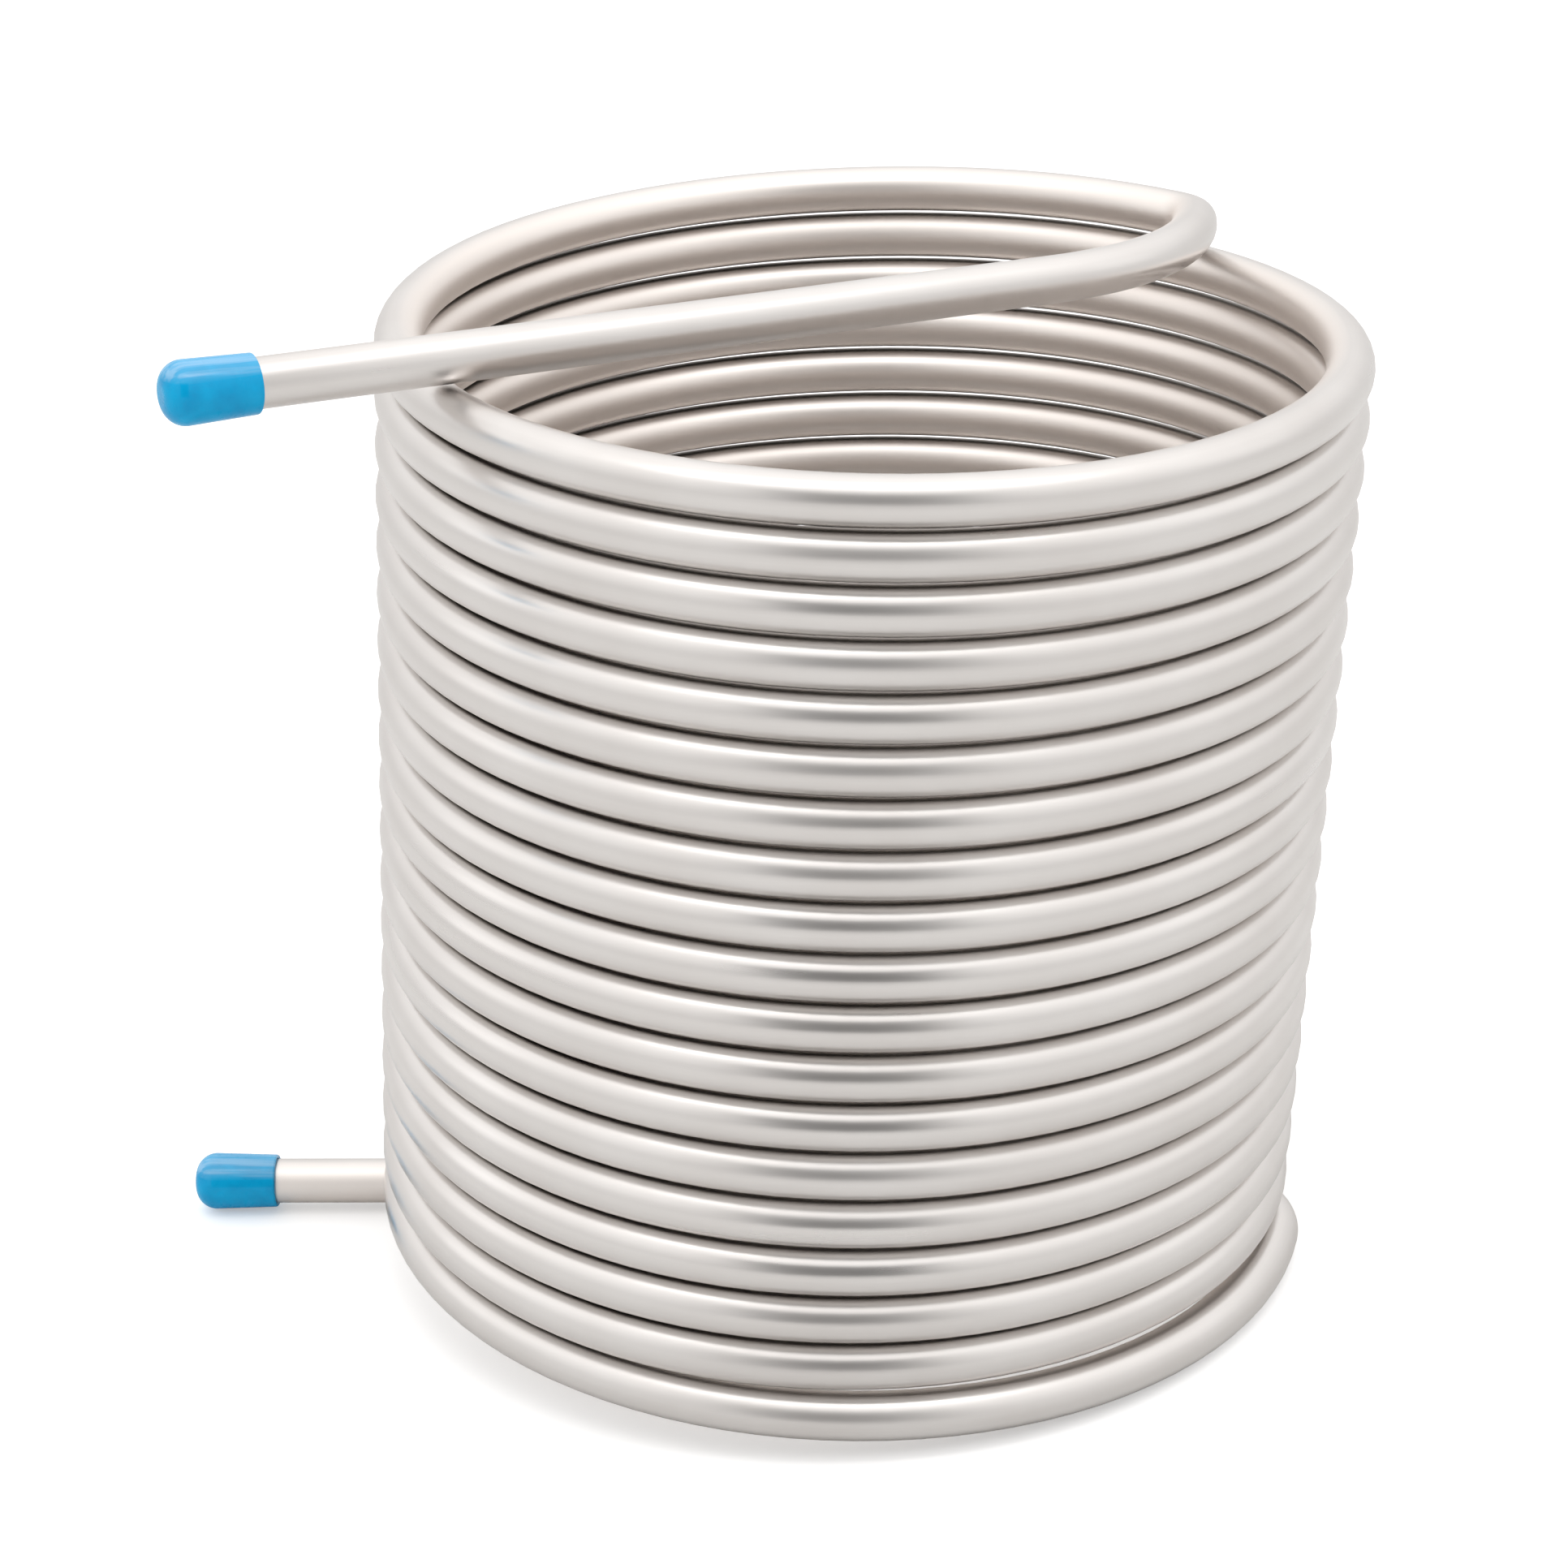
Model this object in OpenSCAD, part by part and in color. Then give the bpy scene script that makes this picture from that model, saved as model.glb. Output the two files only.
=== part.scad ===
// Immersion wort chiller: one stainless tube wound into a tall close coil, with both ends led
// out straight to the same side and closed by push-on vinyl caps.
// Millimetres, +Z up. The chiller stands on its lower leg, which runs out towards -X; the origin
// is on that floor, in the middle of the box that the chiller fills.

/* [Tube] */
// Outer diameter of the tube
tube_od = 12.7; // [9:0.1:16]
// Thickness of the tube's wall
tube_wall = 0.9; // [0.5:0.1:1.5]

/* [Coil] */
// Radius of the top turn, to the middle of the tube
top_turn_r = 124; // [105:1:150]
// Radius of the bottom turn, to the middle of the tube
bottom_turn_r = 120; // [105:1:150]
// Number of turns between the two end bends
coil_turns = 18.456; // [8.456:1:22.456]
// Free gap between neighbouring turns
turn_gap = 0.6; // [0.5:0.1:3]
// Lean of the stack of turns towards +X
lean_right = 2.5; // [0:0.1:5]
// Lean of the stack of turns towards +Y
lean_back = 4.6; // [0:0.1:6]
// How far the turns tip towards -Y as the chiller stands
tip_front = 1.4; // [0:0.1:3]
// How far the turns tip towards +X as the chiller stands
tip_right = 1.6; // [0:0.1:3]

/* [Lower end] */
// Direction round the coil where the tube leaves the bottom turn
leaving_angle = 212.5; // [200:0.5:225]
// Extra radius of the last, falling part of a turn
last_turn_spread = 2.5; // [0:0.5:6]
// Angle through which the last part of a turn falls to the floor
last_turn_angle = 136.5; // [120:0.5:145]
// Radius of the bend that leads the tube in under the coil
lower_bend_r = 27; // [20:1:45]
// Length of tube beyond the side of the coil, lower end
lower_reach = 65; // [40:1:150]

/* [Upper end] */
// Radius of the tight bend at the top of the coil
upper_bend_r = 15; // [14:1:40]
// Angle of the tight bend
upper_bend_angle = 50; // [30:1:70]
// Radius of the easy bend that follows it
upper_ease_r = 80; // [50:1:120]
// Angle of the easy bend
upper_ease_angle = 60; // [40:1:75]
// Length of tube beyond the side of the coil, upper end
upper_reach = 70; // [40:1:150]

/* [Caps] */
// Thickness of a cap's side wall
cap_wall = 1.8; // [1:0.1:3]
// Thickness of a cap's closed end
cap_end_wall = 2; // [1:0.1:4]
// Length of a cap
cap_length = 23.5; // [15:0.5:35]
// Rounding of a cap's closed end
cap_round = 5; // [2:0.5:6]
// Radial clearance between the tube and a cap
cap_fit = 0.05; // [0.02:0.01:0.1]

/* [Foot] */
// Depth of the flat where the tube rests on the floor
flat_depth = 0.5; // [0.2:0.1:1]

/* [Hidden] */
$fn = 48;

// Free space between a tube's end and the inside of its cap
cap_end_gap = 0.3;
// Rounding of a cap's open rim
cap_rim_round = 0.6;
// Steps round a cap's rim and round the corner of its closed end
rim_steps = 3;
dome_steps = 8;
// Sides of the coil's section, and the rings along each arc of its centre line
ring_sides = 6;
arc_steps = 6;

tube_r = tube_od / 2;
bore_r = tube_r - tube_wall;
pitch = tube_od + turn_gap;
cap_bore_r = tube_r + cap_fit;
cap_r = cap_bore_r + cap_wall;
cap_seat = cap_length - cap_end_wall - cap_end_gap;
leg_z = tube_r - flat_depth;

// ---- Vectors -------------------------------------------------------------------------------

function unit(v) = v / norm(v);
function plan(v) = [v.x, v.y];
function compass(v) = atan2(v.y, v.x);
function direction(angle, slope) = unit([cos(angle), sin(angle), slope]);
function turn_matrix_x(a) = [[1, 0, 0], [0, cos(a), -sin(a)], [0, sin(a), cos(a)]];
function turn_matrix_y(a) = [[cos(a), 0, sin(a)], [0, 1, 0], [-sin(a), 0, cos(a)]];

// ---- Centre line of the coil ---------------------------------------------------------------
// A place on the centre line is a knot: [point, direction of travel]. Angles run anticlockwise
// seen from above, and the tube falls as they grow. Heights are first taken from mid coil.

start_angle = leaving_angle - 360 * coil_turns;
mid_angle = leaving_angle - 180 * coil_turns;
mean_r = (top_turn_r + bottom_turn_r) / 2;
turn_growth = (bottom_turn_r - top_turn_r) / coil_turns;
lean = [tan(lean_right), tan(lean_back)];
tip = turn_matrix_x(tip_front) * turn_matrix_y(tip_right);

function coil_point(angle) =
    let (turns = (angle - mid_angle) / 360, r = mean_r + turn_growth * turns, z = -pitch * turns)
    [r * cos(angle) + lean.x * z, r * sin(angle) + lean.y * z, z];

function coil_direction(angle) =
    let (r = mean_r + turn_growth * (angle - mid_angle) / 360)
    let (growth = turn_growth / (2 * PI), fall = -pitch / (2 * PI))
    unit([
        growth * cos(angle) - r * sin(angle) + lean.x * fall,
        growth * sin(angle) + r * cos(angle) + lean.y * fall,
        fall
    ]);

function tipped_knot(angle) = [tip * coil_point(angle), tip * coil_direction(angle)];

// ---- Bends ---------------------------------------------------------------------------------

// Point reached from a knot by a level bend; side is 1 to the left and -1 to the right
function bend_end(knot, radius, turn, side) =
    let (ahead = unit(plan(knot[1])), across = side * [-ahead.y, ahead.x])
    plan(knot[0]) + radius * (sin(turn) * ahead + (1 - cos(turn)) * across);

// Middle point of the pair of arcs that joins two knots smoothly
function joint_point(a, b) =
    let (chord = b[0] - a[0], both = a[1] + b[1], open = 2 * (1 - a[1] * b[1]))
    let (along = chord * both, reach = (sqrt(along * along + open * (chord * chord)) - along) / open)
    (a[0] + b[0] + reach * (a[1] - b[1])) / 2;

// Direction at the far end of the arc that starts along d and ends at the chord's far end
function arc_end_direction(d, chord) =
    let (c = unit(chord))
    2 * (d * c) * c - d;

// An arc is [start point, start direction, end point]; two knots are joined by two arcs
function knot_arcs(a, b) =
    let (m = joint_point(a, b))
    [[a[0], a[1], m], [m, arc_end_direction(a[1], m - a[0]), b[0]]];

function all_arcs(knots) = [
    for (i = [0 : len(knots) - 2], arc = knot_arcs(knots[i], knots[i + 1])) arc
];

function arc_turn(arc) = 2 * acos(min(1, arc[1] * unit(arc[2] - arc[0])));
function arc_radius(arc) = norm(arc[2] - arc[0]) / 2 / sin(arc_turn(arc) / 2);
function arc_inward(arc) =
    let (chord = arc[2] - arc[0])
    unit(chord - (arc[1] * chord) * arc[1]);

// Point at a share of the way round an arc
function arc_point(arc, share) =
    let (turn = arc_turn(arc), r = arc_radius(arc))
    arc[0] + r * (sin(turn * share) * arc[1] + (1 - cos(turn * share)) * arc_inward(arc));

// ---- Lower end -----------------------------------------------------------------------------
// The last part of a turn falls to the floor, bends in under the coil and runs out to -X, close
// under the bottom turn. The leg rises slightly, so that its cap stands on the floor too.

left_r = bottom_turn_r + lean.x * pitch * coil_turns / 2;
leaving_tipped = tipped_knot(leaving_angle);
landing_xy = bend_end(leaving_tipped, bottom_turn_r + last_turn_spread, last_turn_angle, 1);
landing_heading = compass(leaving_tipped[1]) + last_turn_angle;
lower_bend_turn = (540 - landing_heading) % 360;
landing_knot = [[landing_xy.x, landing_xy.y, leg_z], direction(landing_heading, 0)];
lower_bend_xy = bend_end(landing_knot, lower_bend_r, lower_bend_turn, 1);
lower_leg_length = lower_bend_xy.x + left_r + lower_reach;
lower_rise = (cap_r - leg_z) / (lower_leg_length - cap_seat);
lower_leg_knot = [[lower_bend_xy.x, lower_bend_xy.y, leg_z], direction(180, lower_rise)];

// The coil is lifted until its bottom turn clears the lower leg where they cross
crossing_turn = tipped_knot(180)[0];
crossing_leg_z = leg_z + lower_rise * (lower_bend_xy.x - crossing_turn.x);
coil_lift = crossing_leg_z + pitch - crossing_turn.z;

function knot(angle) = [tipped_knot(angle)[0] + [0, 0, coil_lift], tipped_knot(angle)[1]];

lower_tip = lower_leg_knot[0] + lower_leg_length * lower_leg_knot[1];

// ---- Upper end -----------------------------------------------------------------------------
// Followed upwards, against the fall: a tight bend into the coil, an easy bend, then a straight
// leg that climbs just enough to pass over the top turn.

top_knot = [knot(start_angle)[0], -knot(start_angle)[1]];
tight_xy = bend_end(top_knot, upper_bend_r, upper_bend_angle, -1);
tight_heading = compass(top_knot[1]) - upper_bend_angle;
tight_flat = [[tight_xy.x, tight_xy.y, 0], direction(tight_heading, 0)];
ease_xy = bend_end(tight_flat, upper_ease_r, upper_ease_angle, -1);
upper_heading = tight_heading - upper_ease_angle;
tight_run = upper_bend_r * upper_bend_angle * PI / 180;
ease_run = upper_ease_r * upper_ease_angle * PI / 180;

// Where the leg crosses the top turn, taken as a circle about the middle of that turn
top_middle = plan(tip * [lean.x, lean.y, 1]) * pitch * coil_turns / 2;
ahead_xy = [cos(upper_heading), sin(upper_heading)];
from_middle = ease_xy - top_middle;
crossing_run = sqrt(pow(from_middle * ahead_xy, 2) + top_turn_r * top_turn_r
    - from_middle * from_middle) - from_middle * ahead_xy;
crossing_xy = from_middle + crossing_run * ahead_xy;
crossing_angle = start_angle + (compass(crossing_xy) - start_angle) % 360;
over_angle = crossing_angle < start_angle ? crossing_angle + 360 : crossing_angle;
climb = knot(over_angle)[0].z + pitch - top_knot[0].z;
upper_rise = climb / (tight_run + ease_run + crossing_run);

tight_z = top_knot[0].z + upper_rise * tight_run;
ease_z = tight_z + upper_rise * ease_run;
tight_knot = [[tight_xy.x, tight_xy.y, tight_z], direction(tight_heading, upper_rise)];
upper_leg_knot = [[ease_xy.x, ease_xy.y, ease_z], direction(upper_heading, upper_rise)];
upper_leg_length = (crossing_run + upper_reach) * norm([1, upper_rise]);
upper_tip = upper_leg_knot[0] + upper_leg_length * upper_leg_knot[1];

// ---- The whole centre line -----------------------------------------------------------------

half_turns = ceil(2 * coil_turns);
coil_step = 360 * coil_turns / half_turns;
coil_arcs = all_arcs([for (i = [0 : half_turns]) knot(start_angle + i * coil_step)]);
upper_arcs = all_arcs([top_knot, tight_knot, upper_leg_knot]);
lower_arcs = all_arcs([knot(leaving_angle), landing_knot, lower_leg_knot]);

// The coil ends in a straight run of one tube diameter at each leg, where the legs begin
upper_joint = upper_leg_knot[0] + tube_od * upper_leg_knot[1];
lower_joint = lower_leg_knot[0] + tube_od * lower_leg_knot[1];

// Direction of travel at a share of the way round an arc
function arc_direction(arc, share) =
    let (turn = arc_turn(arc) * share)
    cos(turn) * arc[1] + sin(turn) * arc_inward(arc);

// Knots along arcs, each arc's end left to the next one
function arc_knots(arcs) = [
    for (arc = arcs, i = [0 : arc_steps - 1])
        [arc_point(arc, i / arc_steps), arc_direction(arc, i / arc_steps)]
];

// Rings of the coil, as knots, from the upper leg to the lower one
upper_knots = arc_knots(upper_arcs);
turn_knots = arc_knots(coil_arcs);
coil_knots = concat(
    [[upper_joint, -upper_leg_knot[1]], [upper_leg_knot[0], -upper_leg_knot[1]]],
    [for (i = [len(upper_knots) - 1 : -1 : 1]) [upper_knots[i][0], -upper_knots[i][1]]],
    turn_knots,
    arc_knots(lower_arcs),
    [lower_leg_knot, [lower_joint, lower_leg_knot[1]]]
);

// Points of the whole centre line, from the upper tip to the lower one
leg_steps = 12;
centre_points = concat(
    [for (i = [0 : leg_steps - 1]) upper_tip + (upper_joint - upper_tip) * i / leg_steps],
    [for (k = coil_knots) k[0]],
    [for (i = [1 : leg_steps]) lower_joint + (lower_tip - lower_joint) * i / leg_steps]
);
last_point = len(centre_points) - 1;
lengths = [
    for (
        i = 0, length = 0;
        i <= last_point;
        length = length + (i < last_point ? norm(centre_points[i + 1] - centre_points[i]) : 0),
        i = i + 1
    ) length
];

// Least distance from a point to the stretch between two others
function stretch_distance(p, a, b) =
    let (share = max(0, min(1, (p - a) * (b - a) / ((b - a) * (b - a)))))
    norm(p - a - share * (b - a));

// The tube is compared with itself from four diameters on, up to a turn and a half further
self_start = 4 * tube_od;
self_reach = 3 * PI * mean_r;
arcs_in_turn = 4;
self_points = 1.5 * arcs_in_turn * arc_steps;
self_gaps = [
    for (i = [0 : last_point - 1])
        for (j = [i + 1 : min(last_point - 1, i + self_points)])
            if (lengths[j] - lengths[i] > self_start && lengths[j] - lengths[i] < self_reach)
                stretch_distance(centre_points[i], centre_points[j], centre_points[j + 1])
];
echo(least_gap_of_tube_to_itself = min(self_gaps) - tube_od);

// The model is moved so that the origin is in the middle of its box
function coordinates(axis) = [for (p = centre_points) p[axis]];
low_x = min(lower_tip.x - cap_end_wall, upper_tip.x - cap_r);
high_x = max(coordinates(0)) + tube_r;
low_y = min(coordinates(1)) - tube_r;
high_y = max(coordinates(1)) + tube_r;
origin = [(low_x + high_x) / 2, (low_y + high_y) / 2, 0];

echo(tube_length = lengths[last_point]);
echo(upper_tip = upper_tip - origin, upper_direction = upper_leg_knot[1]);
echo(lower_tip = lower_tip - origin, lower_direction = lower_leg_knot[1]);
echo(coil_middle = [0, 0, coil_lift] - origin);

// ---- Shapes --------------------------------------------------------------------------------

// Moves a shape so that its x and y axes lie along two given directions from a point
module placed(point, x_axis, y_axis) {
    z_axis = cross(x_axis, y_axis);
    multmatrix([
        [x_axis.x, y_axis.x, z_axis.x, point.x],
        [x_axis.y, y_axis.y, z_axis.y, point.y],
        [x_axis.z, y_axis.z, z_axis.z, point.z],
        [0, 0, 0, 1]
    ]) children();
}

// A direction square to a given one
function across(d) = unit(cross([0, 0, 1], d));

// The coil's section has the area of the round tube and lies flat towards its neighbours. What
// would reach below the floor is brought up to it.
ring_r = tube_r * sqrt(2 * PI / ring_sides / sin(360 / ring_sides));
function ring(k) = [
    for (i = [0 : ring_sides - 1])
        let (a = i * 360 / ring_sides)
        let (p = k[0] + ring_r * (cos(a) * across(k[1]) + sin(a) * cross(k[1], across(k[1]))))
        [p.x, p.y, max(0, p.z)]
];
function side_faces(first, second, i) =
    let (next = (i + 1) % ring_sides)
    [
        [first + i, second + i, second + next],
        [first + i, second + next, first + next]
    ];

module coil() {
    rings = len(coil_knots);
    last = (rings - 1) * ring_sides;
    sides = [
        for (k = [0 : rings - 2], i = [0 : ring_sides - 1])
            each side_faces(k * ring_sides, (k + 1) * ring_sides, i)
    ];
    first_end = [for (i = [1 : ring_sides - 2]) [0, i, i + 1]];
    last_end = [for (i = [1 : ring_sides - 2]) [last, last + i + 1, last + i]];
    color([0.84, 0.82, 0.8])
        translate(-origin)
            polyhedron([for (k = coil_knots) each ring(k)], concat(sides, first_end, last_end));
}

module below_floor() {
    side = 8 * mean_r;
    translate([-side / 2, -side / 2, -side])
        cube(side);
}

// A straight, round leg from the coil to the tube's end
module leg(from, to) {
    d = unit(to - from);
    color([0.84, 0.82, 0.8])
        translate(-origin)
            difference() {
                placed(from, across(d), cross(d, across(d)))
                    linear_extrude(norm(to - from))
                        difference() {
                            circle(r = tube_r);
                            circle(r = bore_r);
                        }
                below_floor();
            }
}

module upper_leg() {
    leg(upper_joint, upper_tip);
}

module lower_leg() {
    leg(lower_joint, lower_tip);
}

// Points round a corner of a section, from one angle to another
function corner(middle, radius, from, to, steps) = [
    for (i = [0 : steps])
        let (a = from + (to - from) * i / steps)
        middle + radius * [cos(a), sin(a)]
];

// Half section of a cap: open rim at the bottom, rounded closed end at the top
module cap_section() {
    inside = cap_length - cap_end_wall;
    rim_outer = [cap_r - cap_rim_round, cap_rim_round];
    rim_inner = [cap_bore_r + cap_rim_round, cap_rim_round];
    dome_middle = [cap_r - cap_round, cap_length - cap_round];
    polygon(concat(
        [[0, inside], [cap_bore_r, inside]],
        corner(rim_inner, cap_rim_round, 180, 270, rim_steps),
        corner(rim_outer, cap_rim_round, 270, 360, rim_steps),
        corner(dome_middle, cap_round, 0, 90, dome_steps),
        [[0, cap_length]]
    ));
}

// A cap pushed over a tube end, given the end and the direction out of it
module cap(end, outward) {
    rim = end - cap_seat * outward;
    color([0.12, 0.65, 0.85])
        translate(-origin)
            placed(rim, across(outward), cross(outward, across(outward)))
                rotate_extrude()
                    cap_section();
}

module upper_cap() {
    cap(upper_tip, upper_leg_knot[1]);
}

module lower_cap() {
    cap(lower_tip, lower_leg_knot[1]);
}

coil();
upper_leg();
lower_leg();
upper_cap();
lower_cap();
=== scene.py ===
"""Immersion wort chiller: a close-wound stainless coil with two straight ends and vinyl caps.

Every piece is built in metres in the row frame: +X points away from the side where both ends of
the tube come out, +Z is up and the floor is at height 0. The tube's route is worked out in
millimetres first.
"""

import logging
import math
from dataclasses import dataclass, field
from enum import Enum
from typing import Any

import bmesh
import bpy
import numpy as np
from mathutils import Matrix, Vector


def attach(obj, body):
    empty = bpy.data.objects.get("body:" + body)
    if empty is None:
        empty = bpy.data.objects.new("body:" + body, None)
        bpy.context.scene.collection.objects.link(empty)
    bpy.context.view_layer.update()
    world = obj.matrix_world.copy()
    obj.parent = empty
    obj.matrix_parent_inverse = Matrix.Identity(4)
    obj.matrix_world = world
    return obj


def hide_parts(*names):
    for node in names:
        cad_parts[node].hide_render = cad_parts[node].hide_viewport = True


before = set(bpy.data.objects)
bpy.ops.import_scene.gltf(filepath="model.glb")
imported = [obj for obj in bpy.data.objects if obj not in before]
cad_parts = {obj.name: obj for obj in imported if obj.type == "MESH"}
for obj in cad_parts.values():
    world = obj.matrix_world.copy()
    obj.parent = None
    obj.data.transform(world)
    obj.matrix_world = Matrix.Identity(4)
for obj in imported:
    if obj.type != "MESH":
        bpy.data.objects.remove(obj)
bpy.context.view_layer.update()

LOG = logging.getLogger("wort_chiller")
# Metres in a millimetre
MM = 0.001
UP = np.array([0.0, 0.0, 1.0])
# Headings whose dot product is over this count as parallel
PARALLEL = 1 - 1e-9

# Attributes that the finishes read from the meshes
UNWOUND = "unwound"
NEARNESS = "nearness"
SECTION = "section"

Triple = tuple[float, float, float]
Span = tuple[float, float]
Edges = list[bmesh.types.BMEdge]
Socket = bpy.types.NodeSocket
Setting = float | tuple[float, ...]


class End(Enum):
    """The two ends of the tube."""

    UPPER = "upper"
    LOWER = "lower"


class Side(Enum):
    """The side that a level bend turns to, as the sign of its turn."""

    LEFT = 1
    RIGHT = -1


class Course(Enum):
    """How a mapped value runs from one end of its range to the other."""

    STRAIGHT = "LINEAR"
    EASED = "SMOOTHSTEP"


# ---- Small helpers ------------------------------------------------------------------------------


def unit(vector: np.ndarray) -> np.ndarray:
    """Returns the vector at length one."""
    return vector / np.linalg.norm(vector)


def column_matrix(columns: tuple[Any, Any, Any, Any]) -> Matrix:
    """Returns the matrix that has three axes and a place as its columns."""
    return Matrix([[float(c[row]) for c in columns] for row in range(3)] + [[0, 0, 0, 1]])


def place_matrix(point: np.ndarray, heading: np.ndarray) -> Matrix:
    """Places a section at a point of the tube.

    Args:
        point: Middle of the section, in metres.
        heading: Direction of travel, which becomes the section's own Z. Its X is level and points
            to the left, which on the coil is inwards, and its Y points up.

    Returns:
        The matrix that carries a section from the origin to that point.
    """
    left = unit(np.cross(UP, heading))
    return column_matrix((left, np.cross(heading, left), heading, point))


def edges_of(geometry: list[Any]) -> Edges:
    """Returns the edges among what an operator made."""
    return [item for item in geometry if isinstance(item, bmesh.types.BMEdge)]


def verts_of(geometry: list[Any]) -> list[bmesh.types.BMVert]:
    """Returns the vertices among what an operator made."""
    return [item for item in geometry if isinstance(item, bmesh.types.BMVert)]


def rest_on_floor(verts: Any) -> None:
    """Flattens what reaches below the floor, where the piece rests on it."""
    for vert in verts:
        vert.co.z = max(0.0, vert.co.z)


def finished_object(name: str, shape: bmesh.types.BMesh, smooth: bool = True) -> bpy.types.Object:
    """Turns a bmesh into an object that sits at the origin.

    Args:
        name: Name of the piece.
        shape: The finished shape, which is freed.
        smooth: Whether its faces are shaded as one smooth surface.

    Returns:
        The new object, linked to the scene.
    """
    for face in shape.faces:
        face.smooth = smooth
    mesh = bpy.data.meshes.new(name)
    shape.to_mesh(mesh)
    shape.free()
    piece = bpy.data.objects.new(name, mesh)
    bpy.context.scene.collection.objects.link(piece)
    return piece


# ---- Finishes -----------------------------------------------------------------------------------


@dataclass(frozen=True)
class Grain:
    """The look of a noise.

    Attributes:
        scale: Grains a metre along each axis.
        layers: Layers of finer noise.
        layer_strength: How strong the finer layers are.
        spread: The two values that most of the noise lies between.
    """

    scale: Triple
    layers: float = 2.0
    layer_strength: float = 0.5
    spread: Span = (0.3, 0.7)


@dataclass(frozen=True)
class Relief:
    """A relief in a surface: its depth in metres and the share of it that shows."""

    depth: float
    share: float


class NodeGraph:
    """A node tree, with short ways to add and join nodes."""

    def __init__(self, tree: bpy.types.NodeTree) -> None:
        """Keeps the tree that the nodes are added to."""
        self.tree = tree

    def add(self, kind: str, **settings: Any) -> bpy.types.Node:
        """Adds a node and sets its properties.

        Args:
            kind: Blender's name for the node type.
            settings: Properties of the node.

        Returns:
            The new node.
        """
        node = self.tree.nodes.new(kind)
        for key, value in settings.items():
            setattr(node, key, value)
        return node

    def feed(self, target: Socket, value: Socket | Setting) -> None:
        """Links an input to an output or sets it to a fixed value.

        Args:
            target: The input.
            value: Another node's output, a number or a tuple of numbers.
        """
        if isinstance(value, Socket):
            self.tree.links.new(value, target)
        else:
            target.default_value = value

    def attribute(self, name: str, output: str = "Vector") -> Socket:
        """Reads an attribute of the mesh."""
        return self.add("ShaderNodeAttribute", attribute_name=name).outputs[output]

    def spot(self) -> Socket:
        """Reads the place on the object, in metres."""
        return self.add("ShaderNodeTexCoord").outputs["Object"]

    def part_of(self, place: Socket, axis: str) -> Socket:
        """Reads one coordinate of a place.

        Args:
            place: The place.
            axis: X, Y or Z.

        Returns:
            The coordinate.
        """
        split = self.add("ShaderNodeSeparateXYZ")
        self.feed(split.inputs["Vector"], place)
        return split.outputs[axis]

    def share_along(self, way: Socket, axis: Triple) -> Socket:
        """Measures how far a direction follows an axis.

        Args:
            way: The direction.
            axis: The axis, at length one.

        Returns:
            The share, from -1 to 1.
        """
        dot = self.add("ShaderNodeVectorMath", operation="DOT_PRODUCT")
        self.feed(dot.inputs[0], way)
        self.feed(dot.inputs[1], axis)
        return dot.outputs["Value"]

    def maths(self, operation: str, *values: Socket | float) -> Socket:
        """Works out a value from others.

        Args:
            operation: Blender's name for the sum.
            values: Its inputs, fixed or from other nodes.

        Returns:
            The result.
        """
        node = self.add("ShaderNodeMath", operation=operation)
        for value, socket in zip(values, node.inputs):
            self.feed(socket, value)
        return node.outputs["Value"]

    def ranged(
        self,
        value: Socket,
        source: Span,
        to: Span = (0.0, 1.0),
        course: Course = Course.STRAIGHT,
    ) -> Socket:
        """Maps a value from one range to another, held at its ends.

        Args:
            value: The value to map.
            source: Range that the value is read in.
            to: Range that it is turned into.
            course: How it runs between the ends.

        Returns:
            The mapped value.
        """
        node = self.add("ShaderNodeMapRange", clamp=True, interpolation_type=course.value)
        labels = ("From Min", "From Max", "To Min", "To Max")
        for label, limit in zip(labels, (*source, *to)):
            self.feed(node.inputs[label], limit)
        self.feed(node.inputs["Value"], value)
        return node.outputs["Result"]

    def mixed(self, share: Socket, low: Socket | Triple | float, high: Triple | float) -> Socket:
        """Mixes two colours or two numbers.

        Args:
            share: How much of the second there is, from 0 to 1.
            low: Colour or number at 0, fixed or from another node.
            high: Colour or number at 1.

        Returns:
            The mixture.
        """
        kind = "RGBA" if isinstance(high, tuple) else "FLOAT"
        mix = self.add("ShaderNodeMix", data_type=kind)
        self.feed(mix.inputs["Factor"], share)
        for label, value in (("A", low), ("B", high)):
            self.feed(mix.inputs[label], (*value, 1.0) if isinstance(value, tuple) else value)
        return mix.outputs["Result"]

    def noise(self, place: Socket, grain: Grain) -> Socket:
        """Adds a noise whose grain has its own size along each axis.

        Args:
            place: Coordinates that the noise is laid on.
            grain: Look of the noise.

        Returns:
            The noise's value.
        """
        mapping = self.add("ShaderNodeMapping")
        self.feed(mapping.inputs["Scale"], grain.scale)
        self.feed(mapping.inputs["Vector"], place)
        noise = self.add("ShaderNodeTexNoise")
        self.feed(noise.inputs["Scale"], 1.0)
        self.feed(noise.inputs["Detail"], grain.layers)
        self.feed(noise.inputs["Roughness"], grain.layer_strength)
        self.feed(noise.inputs["Vector"], mapping.outputs["Vector"])
        return noise.outputs["Fac"]

    def bumped(self, height: Socket, relief: Relief, under: Socket | None = None) -> Socket:
        """Adds a bump, which may lie over another one.

        Args:
            height: Height of the relief, from 0 to 1.
            relief: Depth of the relief and how much of it shows.
            under: The normal of a coarser relief below it.

        Returns:
            The bumped normal.
        """
        bump = self.add("ShaderNodeBump")
        self.feed(bump.inputs["Distance"], relief.depth)
        self.feed(bump.inputs["Strength"], relief.share)
        self.feed(bump.inputs["Height"], height)
        if under is not None:
            self.feed(bump.inputs["Normal"], under)
        return bump.outputs["Normal"]


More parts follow.
